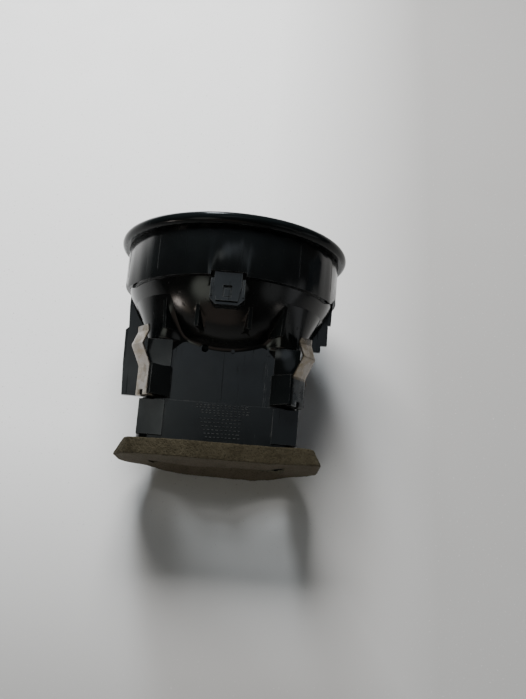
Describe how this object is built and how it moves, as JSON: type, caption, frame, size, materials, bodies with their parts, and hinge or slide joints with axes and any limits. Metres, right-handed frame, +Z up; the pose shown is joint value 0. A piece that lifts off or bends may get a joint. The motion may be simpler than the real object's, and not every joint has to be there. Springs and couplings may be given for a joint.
{
  "type": "round dashboard air vent",
  "caption": "Round vehicle dashboard air vent: trim ring and collar, bell housing with duct stub, spring clips, foam gasket and a turning carrier of linked louver vanes.",
  "frame": {"origin": "centre of the trim ring's back face, the plane that seats on the dashboard", "axes": "+Y along the vent axis into the dashboard, towards the duct inlet; +Z up; +X completes the right-handed frame"},
  "size_m": [0.1, 0.099, 0.1],
  "materials": {
    "gloss_black": "high-gloss moulded black with fine scuffs",
    "bright_trim": "thin plated line, lightly dulled",
    "satin_black": "semi-gloss moulded black with blue-green tint",
    "housing_black": "semi-gloss moulded black, oily sheen, dusty corners",
    "felt": "pressed felt",
    "foam": "weathered olive-brown open-cell foam",
    "spring_steel": "rolled strip with yellow-brown stains",
    "silicone": "matte translucent grey",
    "vane_black": "fine-grained matte black",
    "nylon": "plain unpainted nylon",
    "soft_touch": "soft-touch coating, fine ribs"
  },
  "bodies": {
    "housing": {"trim_ring": "gloss_black", "accent_ring": "bright_trim", "collar": "satin_black", "housing": "housing_black", "drag_ring": "felt", "duct_gasket": "foam", "clip_upper_left": "spring_steel", "clip_upper_right": "spring_steel", "clip_lower_left": "spring_steel", "clip_lower_right": "spring_steel"},
    "carrier": {"carrier_drum": "satin_black", "carrier_bezel": "gloss_black", "vane_bushes": "silicone"},
    "vane_1": {"vane_1": "vane_black"},
    "vane_2": {"vane_2": "vane_black"},
    "vane_3": {"vane_3": "vane_black", "thumb_tab": "soft_touch"},
    "vane_4": {"vane_4": "vane_black"},
    "vane_5": {"vane_5": "vane_black"},
    "vane_link": {"vane_link": "nylon"}
  },
  "joints": [
    {"name": "carrier_turn", "type": "hinge", "parent": "housing", "child": "carrier", "pos_m": [0, 0, 0], "axis": [0, 1, 0], "continuous": true},
    {"name": "vane_tilt", "type": "hinge", "parent": "carrier", "child": "vane_3", "pos_m": [0, 0.006, 0], "axis": [1, 0, 0], "range_deg": [-38, 72]},
    {"name": "vane_1_tilt", "type": "hinge", "parent": "carrier", "child": "vane_1", "pos_m": [0, 0.006, -0.026], "axis": [1, 0, 0], "range_deg": [-38, 72]},
    {"name": "vane_2_tilt", "type": "hinge", "parent": "carrier", "child": "vane_2", "pos_m": [0, 0.006, -0.013], "axis": [1, 0, 0], "range_deg": [-38, 72]},
    {"name": "vane_4_tilt", "type": "hinge", "parent": "carrier", "child": "vane_4", "pos_m": [0, 0.006, 0.013], "axis": [1, 0, 0], "range_deg": [-38, 72]},
    {"name": "vane_5_tilt", "type": "hinge", "parent": "carrier", "child": "vane_5", "pos_m": [0, 0.006, 0.026], "axis": [1, 0, 0], "range_deg": [-38, 72]},
    {"name": "link_swing", "type": "hinge", "parent": "vane_3", "child": "vane_link", "pos_m": [0.018, 0.01222, -0.0019], "axis": [1, 0, 0], "range_deg": [-72, 38]}
  ],
  "couplings": [
    {"joint": "vane_1_tilt", "follows": "vane_tilt", "ratio": 1},
    {"joint": "vane_2_tilt", "follows": "vane_tilt", "ratio": 1},
    {"joint": "vane_4_tilt", "follows": "vane_tilt", "ratio": 1},
    {"joint": "vane_5_tilt", "follows": "vane_tilt", "ratio": 1},
    {"joint": "link_swing", "follows": "vane_tilt", "ratio": -1}
  ]
}
